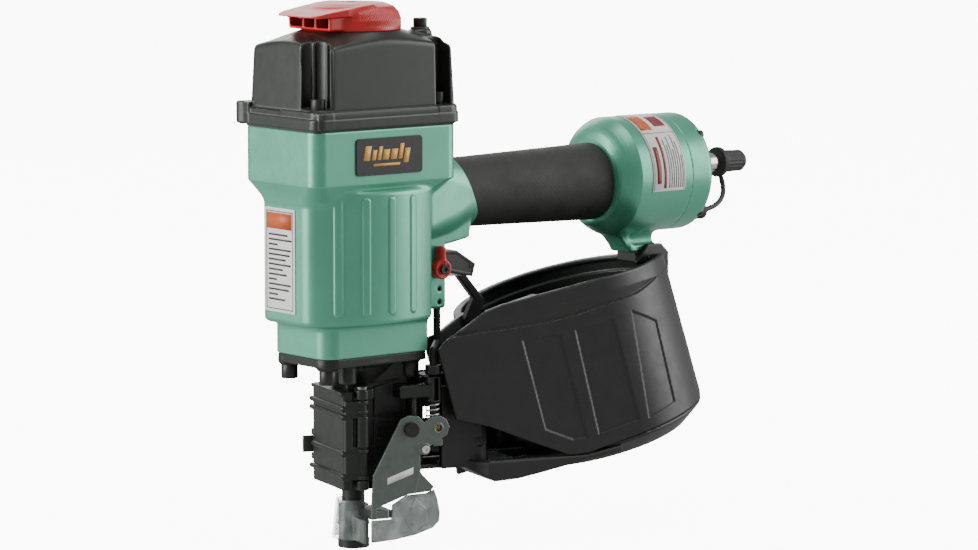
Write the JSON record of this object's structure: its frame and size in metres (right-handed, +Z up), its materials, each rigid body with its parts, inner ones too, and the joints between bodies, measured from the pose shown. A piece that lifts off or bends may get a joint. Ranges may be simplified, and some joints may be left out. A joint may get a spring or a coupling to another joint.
{
  "type": "coil nailer",
  "caption": "Pneumatic coil nailer: green cast body and handle, black cap with turnable deflector, slim nose with clear guards, tilted coil canister with swinging cover.",
  "frame": {"origin": "centre of the contact foot's lower face, on the driver axis", "axes": "+Z up along the driver, +X rearwards along the handle to the air plug, -Y the side that carries the emblem and the canister cover"},
  "size_m": [0.3635, 0.1427, 0.3267],
  "materials": {
    "housing_green": "satin",
    "cap_black": "satin",
    "canister_black": "satin",
    "nose_dark": "satin",
    "deflector_red": "satin",
    "selector_red": "satin",
    "grip_rubber": "matte",
    "steel_plate": "satin",
    "bolt_black": "satin",
    "bright_steel": "polished",
    "clear_guard": "clear",
    "seal_rubber": "matte",
    "label_white": "satin",
    "emblem_black": "gloss",
    "spring_steel": "satin",
    "cast_aluminium": "satin",
    "trigger_black": "satin",
    "brass": "satin"
  },
  "bodies": {
    "tool": {"housing": "housing_green", "emblem_plate": "emblem_black", "front_label": "label_white", "rear_label": "label_white", "cap_gasket": "seal_rubber", "cylinder_cap": "cap_black", "cap_bolts": "bolt_black", "cap_plug": "bolt_black", "deflector_screw": "bolt_black", "head_valve_spring": "spring_steel", "cylinder_sleeve": "cast_aluminium", "sleeve_seals": "seal_rubber", "bumper": "seal_rubber", "valve_body": "brass", "valve_spring": "spring_steel", "roll_pins": "bolt_black", "grip": "grip_rubber", "end_cap": "housing_green", "end_cap_seal": "seal_rubber", "end_cap_bolts": "bolt_black", "air_plug": "bright_steel", "dust_cap_tether": "seal_rubber", "nose": "nose_dark", "nose_bolts": "bolt_black", "door_hinge_pin": "steel_plate", "contact_spring": "spring_steel", "feed_cylinder": "nose_dark", "feed_spring": "spring_steel", "canister": "canister_black", "cover_hinge_pin": "bright_steel", "bracket_bolt": "bolt_black"},
    "deflector": {"exhaust_deflector": "deflector_red"},
    "head_valve": {"head_valve": "cast_aluminium"},
    "piston": {"piston": "cast_aluminium", "piston_ring": "seal_rubber", "driver_blade": "bright_steel"},
    "trigger": {"trigger": "trigger_black", "lever_pin": "bright_steel"},
    "trigger_lever": {"trigger_lever": "bright_steel"},
    "valve_plunger": {"valve_plunger": "bright_steel"},
    "selector": {"selector_lever": "selector_red", "selector_screw": "bright_steel"},
    "dust_cap": {"dust_cap": "seal_rubber"},
    "nail_door": {"nail_door": "nose_dark", "latch_pin": "bright_steel"},
    "door_latch": {"door_latch": "steel_plate"},
    "contact_arm": {"contact_foot": "nose_dark", "contact_plate": "steel_plate", "contact_rod": "nose_dark", "adjuster_button": "bolt_black", "arm_screw": "bright_steel", "side_shield": "clear_guard", "front_shield": "clear_guard"},
    "depth_wheel": {"depth_wheel": "brass"},
    "feed_piston": {"feed_piston": "bright_steel"},
    "feed_pawl": {"feed_pawl": "steel_plate"},
    "canister_cover": {"canister_cover": "canister_black"},
    "nail_tray": {"nail_tray": "canister_black"}
  },
  "joints": [
    {"name": "deflector_turn", "type": "hinge", "parent": "tool", "child": "deflector", "pos_m": [0, 0, 0.318], "axis": [0, 0, 1], "continuous": true},
    {"name": "head_valve_lift", "type": "slide", "parent": "tool", "child": "head_valve", "axis": [0, 0, 1], "range_m": [0, 0.006], "stiffness_N_per_m": 800, "springref_m": -0.01, "deforming": ["head_valve_spring"]},
    {"name": "piston_drive", "type": "slide", "parent": "tool", "child": "piston", "axis": [0, 0, -1], "range_m": [0, 0.084]},
    {"name": "trigger_pull", "type": "hinge", "parent": "tool", "child": "trigger", "pos_m": [0.0485, 0, 0.166], "axis": [0, -1, 0], "range_deg": [0, 9], "stiffness_Nm_per_rad": 0.8, "springref_deg": -8.59},
    {"name": "trigger_lever_tilt", "type": "hinge", "parent": "trigger", "child": "trigger_lever", "pos_m": [0.0837, 0, 0.1638], "axis": [0, 1, 0], "range_deg": [0, 4], "stiffness_Nm_per_rad": 0.1, "springref_deg": -11.46},
    {"name": "valve_press", "type": "slide", "parent": "tool", "child": "valve_plunger", "axis": [0, 0, 1], "range_m": [0, 0.003], "deforming": ["valve_spring"]},
    {"name": "selector_turn", "type": "hinge", "parent": "tool", "child": "selector", "pos_m": [0.0485, 0, 0.166], "axis": [0, 1, 0], "range_deg": [0, 90]},
    {"name": "dust_cap_pull", "type": "slide", "parent": "tool", "child": "dust_cap", "axis": [1, 0, 0], "range_m": [0, 0.02]},
    {"name": "nail_door_swing", "type": "hinge", "parent": "tool", "child": "nail_door", "pos_m": [-0.00945, -0.02135, 0.07], "axis": [0, 0, 1], "range_deg": [0, 100]},
    {"name": "door_latch_turn", "type": "hinge", "parent": "nail_door", "child": "door_latch", "pos_m": [-0.0056, 0.02922, 0.06], "axis": [0, 0, 1], "range_deg": [0, 20], "stiffness_Nm_per_rad": 0.05, "springref_deg": -17.19},
    {"name": "contact_push", "type": "slide", "parent": "tool", "child": "contact_arm", "axis": [0, 0, 1], "range_m": [0, 0.008], "stiffness_N_per_m": 600, "springref_m": -0.012, "deforming": ["contact_spring"]},
    {"name": "depth_wheel_turn", "type": "hinge", "parent": "contact_arm", "child": "depth_wheel", "pos_m": [0.03664, -0.03078, 0.071], "axis": [0, 0, 1], "continuous": true},
    {"name": "feed_stroke", "type": "slide", "parent": "tool", "child": "feed_piston", "axis": [0.9703, -0.2419, 0], "range_m": [0, 0.014], "stiffness_N_per_m": 300, "springref_m": -0.01, "deforming": ["feed_spring"]},
    {"name": "feed_pawl_tilt", "type": "hinge", "parent": "feed_piston", "child": "feed_pawl", "pos_m": [0.0451, 0.01143, 0.08], "axis": [0, 0, -1], "range_deg": [0, 15], "stiffness_Nm_per_rad": 0.05, "springref_deg": -17.19},
    {"name": "cover_swing", "type": "hinge", "parent": "tool", "child": "canister_cover", "pos_m": [0.24068, -0.00899, 0.12695], "axis": [-0.2511, 0.0626, 0.9659], "range_deg": [0, 85]},
    {"name": "tray_height", "type": "slide", "parent": "tool", "child": "nail_tray", "axis": [-0.2511, 0.0626, 0.9659], "range_m": [0, 0.02]}
  ],
  "couplings": [
    {"joint": "valve_press", "follows": "trigger_pull", "m_per_rad": 0.0178}
  ]
}
